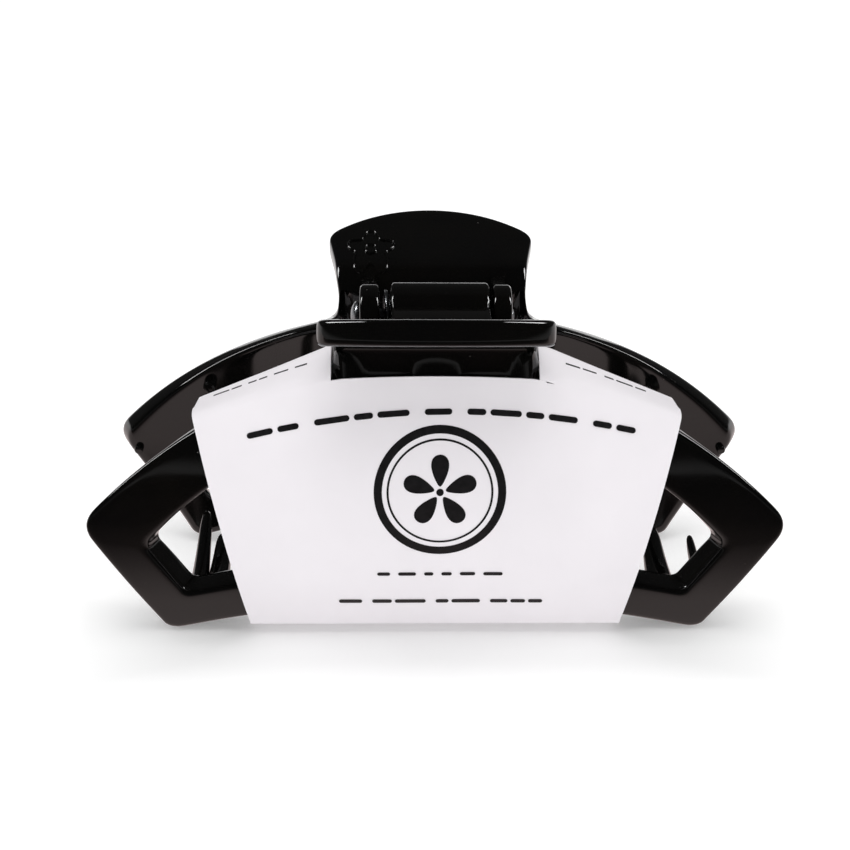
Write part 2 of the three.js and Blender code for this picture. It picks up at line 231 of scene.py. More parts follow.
def wrap(x, v, depth):
    """A flat plate point: depth 0 is the outer face, 1 the inner face. The wall's edges
    draw in towards the inner face: inwards at the ends, and upwards at the foot."""
    if v <= LEVEL_V:
        if v <= NECK_Z:
            y = float(outer_y(v))
        else:
            y = CENTRE[0] - math.sqrt(NECK_R ** 2 - (CENTRE[1] - v) ** 2)
        lift = FOOT_LIFT * max(0.0, 1 - v / BULGE_Z) ** FOOT_LIFT_SHAPE
        lean = float(np.interp(abs(x), LEAN_X, LEAN))
        inner = float(inner_y(v + lift))
        return (x - math.copysign(lean * depth, x), y + (inner - y) * depth, v + lift * depth)
    a = max(TAB_ANGLE, -(v - LEVEL_V) / NECK_R)
    share = (NECK_ANGLE - a) / (NECK_ANGLE - TAB_ANGLE)
    thick = THICK_NECK + (THICK_TAB - THICK_NECK) * share
    normal = np.array([math.cos(a), math.sin(a)])
    inner = CENTRE - (NECK_R + thick) * normal
    outer = under_tab(min(1.0, (v - LEVEL_V) / (BEND_V - LEVEL_V)))
    p = outer + (inner - outer) * depth
    run = max(0.0, v - BEND_V)
    p = p + run * np.array([-normal[1], normal[0]])
    return (x, p[0], p[1])


def under_tab(share):
    """The outer face from the top of the wall to the flat tab: straight up, a small fillet,
    and out along the tab's underside."""
    low = np.array([CENTRE[0] - NECK_R, LEVEL_V])
    end = CENTRE - NECK_R * np.array([math.cos(TAB_ANGLE), math.sin(TAB_ANGLE)])
    rise = end[1] - (end[0] - low[0]) * math.tan(TAB_SLOPE)
    corner = np.array([low[0], rise])
    into = corner - (0, TAB_FILLET)
    out = corner + TAB_FILLET * np.array([math.cos(TAB_SLOPE), math.sin(TAB_SLOPE)])
    turn, straight = 0.4, 0.65              # shares at which the fillet starts and ends
    if share < turn:
        return low + (into - low) * share / turn
    if share > straight:
        return out + (end - out) * (share - straight) / (1 - straight)
    t = (share - turn) / (straight - turn)
    return (1 - t) ** 2 * into + 2 * t * (1 - t) * corner + t * t * out


# ----------------------------------------------------------------------- outlines of the frame
def arch(x):
    return ARCH_Z + math.sqrt(ARCH_R ** 2 - x * x)


def lower(x):
    return max(0.0, LOWER_RISE - x * x / (2 * LOWER_R))


def curve3(a, b, c, count):
    a, b, c = map(np.array, (a, b, c))
    ts = np.linspace(0, 1, count + 1)[1:]
    return [tuple((1 - t) ** 2 * a + 2 * t * (1 - t) * b + t * t * c) for t in ts]


def line(a, b, count):
    return [tuple(np.array(a) + (np.array(b) - np.array(a)) * t)
            for t in np.linspace(0, 1, count + 1)[1:]]


def half_loops():
    """Matching points of the frame's outer edge and of its window, from the lower middle
    round the pointed end to the middle of the neck."""
    def along(f, x0, x1, count):
        return [(x, f(x)) for x in np.linspace(x0, x1, count + 1)[1:]]

    def window_top(x):
        return WINDOW_Z + math.sqrt(WINDOW_R ** 2 - x * x)

    def window_foot(x):
        return LOWER_RISE - x * x / (2 * LOWER_R) + LOWER_BAR

    foot_end, window_foot_end = 39.2, 36.6      # where the lower edges start to turn up
    shoulder_x, shoulder_window, neck_window = 18.2, 14.6, 13.2
    slope = np.array([TIP[0] - FOOT_X[1], TIP[1]])
    slope = slope / np.linalg.norm(slope)
    heel = (FOOT_X[1] + 1.3 * slope[0] + 0.2, 1.8 * slope[1])
    below_tip = (TIP[0] - 3 * slope[0], TIP[1] - 3 * slope[1])
    foot = (WINDOW_FOOT_X, window_foot(WINDOW_FOOT_X))
    rise = np.array(WINDOW_SIDE) - foot
    near = [tuple(foot + rise * share) for share in (0.12, 0.9)]
    outer, inner = [(0.0, lower(0))], [(0.0, window_foot(0))]
    outer += along(lower, 0, foot_end, 14)
    inner += along(window_foot, 0, window_foot_end, 14)
    outer += curve3(outer[-1], (FOOT_X[1] + 0.3, -0.05), heel, 6)
    inner += curve3(inner[-1], foot, near[0], 6)
    outer += line(outer[-1], below_tip, 6)
    inner += line(inner[-1], near[1], 6)
    outer += curve3(outer[-1], TIP, (TIP[0] - 2.1, arch(TIP[0] - 2.1)), 8)
    inner += curve3(inner[-1], (WINDOW_SIDE[0] + 0.1, WINDOW_SIDE[1] + 0.4),
                    (WINDOW_TOP_END, window_top(WINDOW_TOP_END)), 8)
    outer += along(arch, outer[-1][0], shoulder_x, 24)
    inner += along(window_top, WINDOW_TOP_END, shoulder_window, 24)
    outer += curve3(outer[-1], (NECK_HALF + 0.1, arch(NECK_HALF) + 0.2),
                    (NECK_HALF, NECK_TOP_V), 7)
    inner += along(window_top, shoulder_window, neck_window, 7)
    outer += line(outer[-1], (0, NECK_TOP_V), 8)
    inner += along(window_top, neck_window, 0, 8)
    return outer, inner


def frame_plate(name, tab_half, tab_shift):
    """The frame with its window and thumb tab, still flat: x, height v, thickness."""
    outer, inner = half_loops()

    def whole(half):
        return half + [(-x, v) for x, v in half[-2:0:-1]]

    outer, inner = whole(outer), whole(inner)
    count = len(outer)
    plate = start(name, bpy.ops.mesh.primitive_cylinder_add, vertices=count, radius=1,
                  depth=2, end_fill_type="NOTHING")
    co = points(plate)
    turn = np.round(np.arctan2(co[:, 0], co[:, 1]) / (2 * math.pi / count)).astype(int) % count
    flat = [outer[t] if z > 0 else inner[t] for t, z in zip(turn, co[:, 2])]
    place(plate, [(x, v, 0) for x, v in flat])
    edit(plate, kind="EDGE")                # edge mode, so that picked edges stay picked
    done()
    ring = {tuple(np.round(p, 4)) for p in outer}
    hole = {tuple(np.round(p, 4)) for p in inner}

    def spoke(ends):
        a, b = (tuple(np.round(e[:2], 4)) for e in ends)
        return (a in ring and b in hole) or (b in ring and a in hole)

    pick(plate, spoke, "edges")
    reopen("EDGE")
    bpy.ops.mesh.subdivide_edgering(number_cuts=3, interpolation="LINEAR", smoothness=0)
    done()

    def neck_edge(ends):
        return bool((np.abs(ends[:, 1] - NECK_TOP_V) < 1e-3).all())

    rows = [44.0, 44.4, 44.8, 45.2, 45.6, 46.3, 47.0, BEND_V]
    tab_rows = 4

    def half_width(v):
        return np.interp(v, [NECK_TOP_V + 0.8, TAB_CORNER_V], [NECK_HALF, tab_half])

    sagitta = TAB_TIP_V - TAB_CORNER_V
    bow = (tab_half ** 2 + sagitta ** 2) / (2 * sagitta)
    pick(plate, neck_edge, "edges")
    for step in range(len(rows) + tab_rows):
        reopen("EDGE")
        bpy.ops.mesh.extrude_region_move(TRANSFORM_OT_translate={"value": (0, 0, 1)})
        done()
        co = points(plate)
        moved = co[:, 2] > 0.5
        for i in np.nonzero(moved)[0]:
            share = co[i, 0] / half_width(co[i, 1])
            if step < len(rows):
                v = rows[step]
            else:
                tip = TAB_TIP_V - bow + math.sqrt(bow ** 2 - (share * tab_half) ** 2)
                v = BEND_V + (tip - BEND_V) * (step - len(rows) + 1) / tab_rows
            co[i] = (share * half_width(v), v, 0)
        place(plate, co)
    pick(plate, lambda p: abs(p[1] - TAB_CORNER_V) < 0.05 and abs(abs(p[0]) - tab_half) < 0.05)
    reopen("VERT")
    bpy.ops.mesh.bevel(offset=TAB_CORNER_R, segments=5, affect="VERTICES")
    done()
    recalc(plate)
    modify(plate, "SOLIDIFY", thickness=FLAT, offset=0)
    co = points(plate)
    co[:, 2] -= co[:, 2].min()
    place(plate, co)
    modify(plate, "BEVEL", width=EDGE_R, segments=3, limit_method="ANGLE",
           angle_limit=math.radians(50), profile=0.5, use_clamp_overlap=False)

    def shift(v):
        return tab_shift * min(1.0, max(0.0, (v - NECK_Z) / 6))

    place(plate, [wrap(x + shift(v), v, z / FLAT) for x, v, z in points(plate)])
    recalc(plate)
    modify(plate, "SUBSURF", levels=1, render_levels=1)
    return plate


# -------------------------------------------------------------------------- teeth and knuckles
def bezier(a, b, c, t):
    return (1 - t) ** 2 * np.array(a) + 2 * t * (1 - t) * np.array(b) + t * t * np.array(c)


def tooth(x, width, reach, tip_z, sides=12, steps=9):
    """A tooth curls in and up from the inside of the lower bar, tapering to a round tip."""
    bar = max(0.0, LOWER_RISE - x * x / (2 * LOWER_R))
    root_y = float(inner_y(6)) + 1.2
    root_z, root_top = max(2.4, bar + 1), bar + LOWER_BAR - 0.6
    dip = (root_z + root_top) / 2 - 1.2
    rings = []
    for i in range(steps + 1):
        t = i / steps
        top = bezier((root_y, root_top), (root_y * 0.5, dip + 3), (-reach, tip_z + 0.75), t)
        under = bezier((root_y, root_z), (root_y * 0.45, dip), (-reach, tip_z - 0.75), t)
        middle, half = (top + under) / 2, (top - under) / 2
        wide = width / 2 * (1.15 - 0.5 * t)
        shrink = 1.0 if i < steps else 0.8
        rings.append([(x + wide * shrink * math.cos(a), *(middle + half * shrink * math.sin(a)))
                      for a in np.linspace(0, 2 * math.pi, sides, endpoint=False)])
    cap = np.array(rings[-1])
    centre = cap.mean(0)
    rings.append((centre + (cap - centre) * 0.6 + np.array([0, -0.4, 0.15])).tolist())
    piece = sweep("tooth", rings)
    modify(piece, "SUBSURF", levels=1, render_levels=1)
    return piece


def knuckle(x0, x1, radius, web_top):
    """A rounded block about the pin, carried on a web from the inside of the neck."""
    root_y, root_z = float(inner_y(NECK_Z)) + 1.0, 41.2
    top, under = math.asin((web_top - PIN_Z) / radius), math.radians(292)
    outline = [(root_y, web_top - 0.2)]
    for a in np.linspace(top, under, 22):
        outline.append((radius * math.cos(a), PIN_Z + radius * math.sin(a)))
    outline += [tuple(p) for p in curve3(outline[-1], (4.6, root_z + 0.4), (root_y, root_z), 4)]
    rings = [[(x, y, z) for y, z in outline] for x in (x0, x1)]
    piece = sweep("knuckle", rings)
    modify(piece, "BEVEL", width=0.55, segments=3, limit_method="ANGLE",
           angle_limit=math.radians(50))
    return piece


def rod(x0, x1, radius):
    """A round bar on the pin's axis, to cut bores and hollows with."""
    rings = [[(x, radius * math.cos(a), PIN_Z + radius * math.sin(a))
              for a in np.linspace(0, 2 * math.pi, 40, endpoint=False)] for x in (x0, x1)]
    return sweep("rod", rings)


def block(x0, x1, y0, y1, z0, z1):
    """A box between two corners, to cut with."""
    piece = start("block", bpy.ops.mesh.primitive_cube_add, size=1)
    place(piece, points(piece) * (x1 - x0, y1 - y0, z1 - z0)
          + ((x0 + x1) / 2, (y0 + y1) / 2, (z0 + z1) / 2))
    return piece


def peg(x, z, radius, height):
    """A small round stop on the inside of the frame."""
    y = float(inner_y(z))
    rings = []
    for d, r in ((-0.6, 1), (height * 0.75, 0.96), (height * 0.95, 0.82), (height, 0.5)):
        rings.append([(x + r * radius * math.cos(a), y - d, z + r * radius * math.sin(a))
                      for a in np.linspace(0, 2 * math.pi, 20, endpoint=False)])
    return sweep("peg", rings)


def flower_loops(x, v, wide, deep):
    """A small moulded flower for the upper face of the tab: five petals and an eye."""
    turn = np.linspace(0, 2 * math.pi, 120, endpoint=False)
    petals = 0.82 + 0.18 * np.cos(5 * turn)
    return [[(x + r * wide * math.sin(a), v + r * deep * math.cos(a)) for a, r in zip(turn, run)]
            for run in (petals, 0.24 + 0 * turn)]


def rib_ring(loop, wide, high):
    """A closed raised line that follows a loop drawn on the flat plate's inner face."""
    count = len(loop)
    tube = 0.2
    ring = start("rib", bpy.ops.mesh.primitive_torus_add, major_segments=count,
                 minor_segments=12, major_radius=1, minor_radius=tube)
    co = points(ring)
    flat = np.array(loop)
    placed = []
    for p in co:
        a = math.atan2(p[1], p[0]) % (2 * math.pi)
        i = int(round(a / (2 * math.pi) * count)) % count
        out = (math.hypot(p[0], p[1]) - 1) / tube
        up = p[2] / tube
        tangent = flat[(i + 1) % count] - flat[i - 1]
        normal = np.array([tangent[1], -tangent[0]]) / (np.linalg.norm(tangent) + 1e-9)
        q = flat[i] + normal * out * wide / 2
        placed.append(wrap(q[0], q[1], 1 + up * high / THICK_TAB))
    place(ring, placed)
    recalc(ring)
    return ring


# teeth: place along the clip, width, reach past the middle, height of the tip
FRONT_TEETH = [(-36.7, 2.9, 2.5, 10.2), (-33.7, 3.6, -1.5, 8.2), (-22, 2.8, 2, 9.2),
               (-7.4, 2.8, 2, 9.2), (7.4, 2.8, 2, 9.2), (22, 2.8, 2, 9.2),
               (35.5, 4.4, 0.5, 8.4), (42, 2.1, 0, 7)]
REAR_TEETH = [(x, 2.8, 2, 9.2) for x in (-29.3, -14.7, 0, 14.7, 29.3)]
# pegs: place along the clip, height, radius, length
PEGS = [(36.5, 28.7, 1.1, 1.8), (49.0, 16.8, 0.75, 1.1)]
EAR_X = [(-11.6, -8.6), (8.65, 11.5)]
HOOD_X = (-6.9, 8.15)
EAR_R, EAR_WEB_Z, HOOD_R, HOOD_WEB_Z = 5.0, 48.6, 5.3, 48.2
BORE_R, HOLLOW_R, HOOD_END = 1.55, 4.5, 1.4


def jaw(name, teeth, tab_half, tab_shift):
    piece = frame_plate(name, tab_half, tab_shift)
    pegs = [peg(side * x, z, r, h) for x, z, r, h in PEGS for side in (-1, 1)]
    return unite(piece, [tooth(*t) for t in teeth] + pegs)


def ears():
    made = [knuckle(x0, x1, EAR_R, EAR_WEB_Z) for x0, x1 in EAR_X]
    bore = rod(-15, 15, BORE_R)
    whole = unite(made[0], made[1:])
    return unite(whole, [bore], "DIFFERENCE")


def hood():
    """Turned half round with the front jaw, so it is drawn with x the other way about."""
    x0, x1 = -HOOD_X[1], -HOOD_X[0]
    inside, below, web_y = x0 + HOOD_END, 36, float(inner_y(NECK_Z)) - 0.4
    body = knuckle(x0, x1, HOOD_R, HOOD_WEB_Z)
    hollow = rod(inside, x1 + 1, HOLLOW_R)
    under = block(inside, x1 + 1, -6.3, 4.3, below, PIN_Z)
    notch = block(inside, -4.9, 0, web_y, below, 46.5)      # room for the spring's leg
    body = unite(body, [hollow, under, notch], "DIFFERENCE")
    return unite(body, [rod(x0 - 1, x0 + 2, BORE_R)], "DIFFERENCE")


# ----------------------------------------------------------------------------- pin and spring
def hinge_pin():
    """A straight pin with a domed head at the left, as radii along its length."""
    start_x, end_x = EAR_X[0][0] - 0.3, EAR_X[1][1] + 0.5
    stops = [(start_x - 1.1, 0.4), (start_x - 1.05, 1.0), (start_x - 0.85, 1.6),
             (start_x - 0.5, 2.2), (start_x - 0.2, 2.45), (start_x, 2.5), (start_x, 1.25),
             (end_x - 0.35, 1.25), (end_x - 0.1, 1.1), (end_x, 0.9)]
    rings = [[(x, r * math.cos(a), PIN_Z + r * math.sin(a))
              for a in np.linspace(0, 2 * math.pi, 40, endpoint=False)] for x, r in stops]
    return sweep("hinge_pin_steel", rings)


WIRE, COIL_R, COIL_X = 0.9, 3.7, (-7.8, 5.9)
COIL_TURNS, LEG_LEAN, LEG_LENGTH = 8, math.radians(40), 9.3


def spring_path():
    """Middle line of the wire: a straight leg, the coil and the other leg."""
    sweep_angle = (2 * COIL_TURNS + 1) * math.pi - 2 * LEG_LEAN
    down = {0: np.array([0, math.sin(LEG_LEAN), -math.cos(LEG_LEAN)]),
            1: np.array([0, -math.sin(LEG_LEAN), -math.cos(LEG_LEAN)])}

    def coil(share):
        a = LEG_LEAN + share * sweep_angle
        return np.array([COIL_X[0] + (COIL_X[1] - COIL_X[0]) * share,
                         COIL_R * math.cos(a), PIN_Z + COIL_R * math.sin(a)])

    first = [coil(0) + down[0] * LEG_LENGTH * (1 - t) for t in np.linspace(0, 1, 7)[:-1]]
    turns = [coil(t) for t in np.linspace(0, 1, COIL_TURNS * 26)]
    last = [coil(1) + down[1] * LEG_LENGTH * t for t in np.linspace(0, 1, 7)[1:]]
    return first + turns + last


def torsion_spring():
    path = spring_path()
    rings = []
    side = np.array([1.0, 0, 0])
    for i, p in enumerate(path):
        tangent = path[min(i + 1, len(path) - 1)] - path[max(i - 1, 0)]
        tangent /= np.linalg.norm(tangent)
        side = side - tangent * side.dot(tangent)
        side /= np.linalg.norm(side)
        up = np.cross(tangent, side)
        r = WIRE / 2 * (0.75 if i in (0, len(path) - 1) else 1)
        rings.append([tuple(p + r * (math.cos(a) * side + math.sin(a) * up))
                      for a in np.linspace(0, 2 * math.pi, 10, endpoint=False)])
    return sweep("spring_wire", rings)


# -------------------------------------------------------------------------------- card sleeve
CARD = 0.45
GAP = 0.6
CUT_LEFT, CUT_RIGHT = 15.65, 14.95      # cut-out round the neck, either side of the middle


def card_lines(x):
    """Corners of the card's run round the jaw at one place along it, as (y, z)."""
    across = min(1.0, max(0.0, (abs(x) - NECK_HALF) / (36 - NECK_HALF)))
    fold_z = 41.15 + (35.3 - 41.15) * across ** 1.08
    back_z = 44.3 + (35.2 - 44.3) * across
    foot_y = float(outer_y(2.0)) + GAP
    return fold_z, back_z, foot_y


def rounded(corners, radius, per_corner):
    """A run of points with its inner corners rounded."""
    run = [np.array(corners[0], float)]
    for a, b, c in zip(corners, corners[1:], corners[2:]):
        a, b, c = map(lambda p: np.array(p, float), (a, b, c))
        ra = min(radius, np.linalg.norm(a - b) * 0.45)
        rc = min(radius, np.linalg.norm(c - b) * 0.45)
        p = b + (a - b) / np.linalg.norm(a - b) * ra
        q = b + (c - b) / np.linalg.norm(c - b) * rc
        for t in np.linspace(0, 1, per_corner):
            run.append((1 - t) ** 2 * p + 2 * t * (1 - t) * b + t * t * q)
    run.append(np.array(corners[-1], float))
    return run


FOLD_STEPS, PANEL_STEPS, TOP_STEPS = 5, 26, 6
TURN_IN, BACK_DROP, BACK_Y, CARD_FOOT_Z = 4.5, 6.0, 9.0, 1.75
FOOT_HALF, FOLD_HALF, CUT_SHARE = 28.3, 36.05, 0.44
runs = {}                               # runs already worked out, by place along the card


def card_run(x):
    """The card's middle line at x, drawn at the rear: rows of (y, z) at fixed counts."""
    key = round(abs(x), 2)
    if key not in runs:
        runs[key] = new_run(key)
    return runs[key]


def new_run(x):
    """Works the run out at x: turn-in, bend, front panel, fold, top and back flap."""
    fold_z, back_z, foot_y = card_lines(x)
    bottom = CARD_FOOT_Z
    rows = []
    panel = [(float(outer_y(min(z, NECK_Z - 0.6))) + GAP, z)
             for z in np.linspace(bottom + 1.0, fold_z - 2.0, PANEL_STEPS)]
    turn = [(foot_y - TURN_IN, bottom), (foot_y - 1.0, bottom)]
    bend = rounded([turn[-1], (foot_y, bottom), panel[0]], 0.9, FOLD_STEPS)[1:-1]
    rows += turn + [tuple(p) for p in bend] + panel
    fold_y = float(outer_y(min(fold_z, NECK_Z - 0.6))) + GAP
    back = (BACK_Y, back_z)
    last = np.array(panel[-1])
    first_bend = rounded([last, (fold_y, fold_z), back], 2.0, FOLD_STEPS)[1:-1]
    rows += [tuple(p) for p in first_bend]
    far_bend = rounded([first_bend[-1], back, (BACK_Y, back_z - BACK_DROP)], 0.8, FOLD_STEPS)[1:-1]
    start_top, end_top = first_bend[-1], far_bend[0]
    rows += [tuple(start_top + (end_top - start_top) * t)
             for t in np.linspace(0, 1, TOP_STEPS + 1)[1:-1]]
    rows += [tuple(p) for p in far_bend]
    end = np.array([BACK_Y, back_z - BACK_DROP])
    rows += [tuple(far_bend[-1] + (end - far_bend[-1]) * t) for t in (0.5, 1.0)]
    return rows


PANEL_START = 2 + FOLD_STEPS
PANEL_END = PANEL_START + PANEL_STEPS - 1


def half_width_at(row, z):
    """Half width of the card: it widens upwards, then narrows a little over the top."""
    if row <= PANEL_END + FOLD_STEPS:
        return FOOT_HALF + (FOLD_HALF - FOOT_HALF) * (min(z, 35.4) - 2.0) / 33.4
    return 35.9 - 0.07 * (row - PANEL_END - FOLD_STEPS)


def card_surface(share, row_float):
    """A point of the card's middle surface: share runs -1..1 across, row along the run."""
    low = int(math.floor(row_float))
    part = row_float - low
    found = []
    for row in (low, low + 1):
        x = share * 36.0
        for _ in range(3):
            rows = card_run(x)
            y, z = rows[min(row, len(rows) - 1)]
            x = share * half_width_at(row, z)
        rows = card_run(x)
        y, z = rows[min(row, len(rows) - 1)]
        found.append(np.array([x, y, z]))
    return found[0] * (1 - part) + found[1] * part


def card_sleeve():
    """A grid is laid along the card's run, cut out round the neck and given its thickness."""
    cut = CUT_SHARE
    shares = sorted(set(np.round(np.concatenate([
        np.linspace(-1, -cut, 15), np.linspace(-cut, cut, 18), np.linspace(cut, 1, 15)]), 5)))
    total = len(card_run(0))
    sheet = start("sleeve_card", bpy.ops.mesh.primitive_grid_add,
                  x_subdivisions=len(shares) - 1, y_subdivisions=total - 1, size=2)
    co = points(sheet)
    xs = np.unique(np.round(co[:, 0], 5))
    ys = np.unique(np.round(co[:, 1], 5))
    col = np.searchsorted(xs, np.round(co[:, 0], 5) - 1e-6)
    row = np.searchsorted(ys, np.round(co[:, 1], 5) - 1e-6)
    place(sheet, [(shares[c], r, 0) for c, r in zip(col, row)])
    pick(sheet, lambda f: abs(f[:, 0].mean()) < 0.43 and f[:, 1].mean() > PANEL_END, "faces")
    reopen("FACE")
    bpy.ops.mesh.delete(type="FACE")
    done()
    co = points(sheet)
    placed = np.array([card_surface(share, row_number) for share, row_number, _ in co])
    # the cut-out's lower edge bows up in the middle, and its sides stand clear of the neck
    for i, (share, r, _) in enumerate(co):
        if abs(share) < cut + 1e-4 and abs(r - PANEL_END) < 0.1:
            placed[i][2] += 1.2 + 0.55 * (1 - (share / cut) ** 2)
        if abs(abs(share) - cut) < 1e-3 and r > PANEL_END:
            placed[i][0] = CUT_LEFT if placed[i][0] > 0 else -CUT_RIGHT
        bow = 0.12 * math.sin(placed[i][0] * 0.11 + 0.6) * math.sin(placed[i][2] * 0.17)
        if PANEL_START < r < PANEL_END - 2:
            placed[i][1] += abs(bow)
    place(sheet, placed)
    corner = [placed[np.argmin(np.abs(co[:, 0] - s) + np.abs(co[:, 1] - r))]
              for s in (-1, 1) for r in (0, total - 1)]
    pick(sheet, lambda p: min(np.linalg.norm(p - c) for c in corner) < 1e-4)
    reopen("VERT")
    bpy.ops.mesh.bevel(offset=1.6, segments=4, affect="VERTICES")
    done()
    modify(sheet, "SOLIDIFY", thickness=CARD, offset=0, use_even_offset=True)
    recalc(sheet)
    turn_half(sheet)
    return sheet


# ------------------------------------------------------------------------- print on the card
INK, INK_LIFT = 0.03, 0.05
draw = random.Random(7)


def print_points(x, z, lift):
    """A point of the print on the front panel, drawn at the rear and turned with the card."""
    y = float(outer_y(min(z, NECK_Z - 0.6))) + GAP + CARD / 2 + lift
    if z < 39:
        y += abs(0.12 * math.sin(-x * 0.11 + 0.6) * math.sin(z * 0.17))
    return (x, -y, z)


def top_points(x, share, lift):
    """A point of the print on the top flap: share 0 is the near fold, 1 the far one."""
    first = PANEL_END + FOLD_STEPS - 1
    row = first + (TOP_STEPS + 1) * share
    wide = half_width_at(first, 35.4)
    p = card_surface(x / wide, row)
    return (-p[0], -p[1], p[2] + CARD / 2 + lift)


def strips(shape, step=1.0):
    """Cuts a flat shape across at even heights, so that it can follow a curve."""
    height = points(shape)[:, 1]
    edit(shape, "SELECT")
    for cut in np.arange(math.floor(height.min()), height.max(), step):
        if height.min() + 1e-3 < cut < height.max() - 1e-3:
            bpy.ops.mesh.select_all(action="SELECT")
            bpy.ops.mesh.bisect(plane_co=(0, cut, 0), plane_no=(0, 1, 0))
    done()


def lay(shape, where):
    """Lays a flat shape on the card and gives it the ink's thickness."""
    place(shape, [where(a, b, INK_LIFT) for a, b, _ in points(shape)])
    modify(shape, "SOLIDIFY", thickness=INK, offset=1)
    return shape


def printed(outline, where):
    """A filled ink shape laid on the card."""
    shape = start("ink", bpy.ops.mesh.primitive_circle_add, vertices=len(outline), radius=1,
                  fill_type="NGON")
    place(shape, [(a, b, 0) for a, b in outline])
    strips(shape)
    return lay(shape, where)


def dash(x, z, length, height, turn, where):
    """One rounded dash of a row that stands for a line of print."""
    half, r = length / 2 - height / 2, height / 2
    outline = []
    for a in np.linspace(-90, 90, 6):
        outline.append((half + r * math.cos(math.radians(a)), r * math.sin(math.radians(a))))
    for a in np.linspace(90, 270, 6):
        outline.append((-half + r * math.cos(math.radians(a)), r * math.sin(math.radians(a))))
    c, s = math.cos(turn), math.sin(turn)
    return printed([(x + c * a - s * b, z + s * a + c * b) for a, b in outline], where)


def row_of_print(words, x0, x1, height, curve, where, gap=0.42, word_gap=1.5):
    """Words of dashes from x0 to x1 along a curve z(x)."""
    sizes = [[1.0 + 1.6 * draw.random() for _ in range(n)] for n in words]
    free = (x1 - x0) - word_gap * (len(words) - 1) - gap * sum(n - 1 for n in words)
    unit = free / sum(map(sum, sizes))
    x, made = x0, []
    for word in sizes:
        for size in word:
            length = size * unit
            middle = x + length / 2
            slope = (curve(middle + 0.5) - curve(middle - 0.5))
            made.append(dash(middle, curve(middle), max(length, height * 1.05), height,
                             math.atan(slope), where))
            x += length + gap
        x += word_gap - gap
    return made


def ring(x, z, inner, outer, where):
    """A printed ring: a tube of two circles laid flat."""
    band = start("ink", bpy.ops.mesh.primitive_cylinder_add, vertices=72, radius=1, depth=2,
                 end_fill_type="NOTHING")
    co = points(band)
    radius = np.where(co[:, 2] > 0, outer, inner)
    place(band, np.stack([x + co[:, 0] * radius, z + co[:, 1] * radius, 0 * radius], 1))
    recalc(band)
    strips(band)
    return lay(band, where)


def petal(x, z, turn, length, wide, where):
    """One petal of the printed flower, round at its outer end."""
    outline = []
    for a in np.linspace(0, 2 * math.pi, 28, endpoint=False):
        along = 0.5 - 0.5 * math.cos(a)
        across = math.sin(a) * (0.35 + 0.65 * along) * wide / 2
        out = 0.16 * length + along * length * 0.84
        outline.append((x + out * math.cos(turn) - across * math.sin(turn),
                        z + out * math.sin(turn) + across * math.cos(turn)))
    return printed(outline, where)


def sleeve_print():
    """Rows of dashes for the lines of print, and a plain flower in a ring."""
    made = []

    def arc(a, b, c):
        fit = np.polyfit([a[0], b[0], c[0]], [a[1], b[1], c[1]], 2)
        return lambda x: float(np.polyval(fit, x))

    flower_x, flower_z = 0.4, 24.3
    made += row_of_print([2, 3, 1, 4, 2], -28.0, 29.2, 0.85,
                         arc((-28.2, 32.4), (0.2, 35.9), (29.4, 33.2)), print_points, 0.6, 2.2)
    made.append(ring(flower_x, flower_z, 8.6, 9.8, print_points))
    made.append(ring(flower_x, flower_z, 7.6, 7.9, print_points))
    for k in range(5):
        made.append(petal(flower_x, flower_z, math.radians(90 + 72 * k), 5.6, 3.6, print_points))
    made.append(ring(flower_x, flower_z, 0.0001, 0.55, print_points))
    made += row_of_print([1] * 6, -8.9, 10.0, 0.55, lambda x: 11.1, print_points, 0.42, 1.2)
    made += row_of_print([1, 2, 2, 3], -14.7, 16.2, 0.62, lambda x: 6.2, print_points)
    # on the top flap a height is a share of the flap's depth
    made += row_of_print([3, 2], -31.6, -19.2, 0.1, lambda x: 0.66 - 0.012 * (x + 31),
                         top_points, 0.4, 1.2)
    made += row_of_print([1, 1, 2, 2], 19.4, 33.6, 0.09, lambda x: 0.5 + 0.012 * (x - 19),
                         top_points, 0.35, 1.0)
    clear()
    for shape in made:
        shape.select_set(True)
    bpy.context.view_layer.objects.active = made[0]
    bpy.ops.object.join()
    made[0].name = made[0].data.name = "sleeve_print"
    recalc(made[0])
    return made[0]


# -------------------------------------------------------------------------------- materials
def linear(code):
    """An sRGB hex value as linear colour."""
    parts = [int(code[i:i + 2], 16) / 255 for i in (1, 3, 5)]
    return tuple(c / 12.92 if c <= 0.04045 else ((c + 0.055) / 1.055) ** 2.4 for c in parts) + (1,)


def grey(value):
    """A plain linear grey, for roughness, masks and light."""
    return (value, value, value, 1)


def new_material(name):
    material = bpy.data.materials.new(name)
    material.use_nodes = True
    tree = material.node_tree
    return material, tree, tree.nodes["Principled BSDF"]


def add(tree, kind, links=(), stops=(), values=None, **settings):
    """Adds a node with its settings, then links (own input, node, output) in. stops are a
    colour ramp's (position, colour), and values are inputs set by their number."""
    node = tree.nodes.new(kind)
    for key, value in settings.items():
        if key in node.inputs and not hasattr(type(node), key):
            node.inputs[key].default_value = value
        else:
            setattr(node, key, value)
    for number, value in (values or {}).items():
        node.inputs[number].default_value = value
    for own, other, out in links:
        tree.links.new(other.outputs[out], node.inputs[own])
    while stops and len(node.color_ramp.elements) < len(stops):
        node.color_ramp.elements.new(0.5)
    for i, (position, colour) in enumerate(stops):
        node.color_ramp.elements[i].position = position
        node.color_ramp.elements[i].color = colour
    return node


def join(tree, shader, **sources):
    """Links the first output of each node to the shader's input of that name."""
    for name, node in sources.items():
        tree.links.new(node.outputs[0], shader.inputs[name.replace("_", " ")])


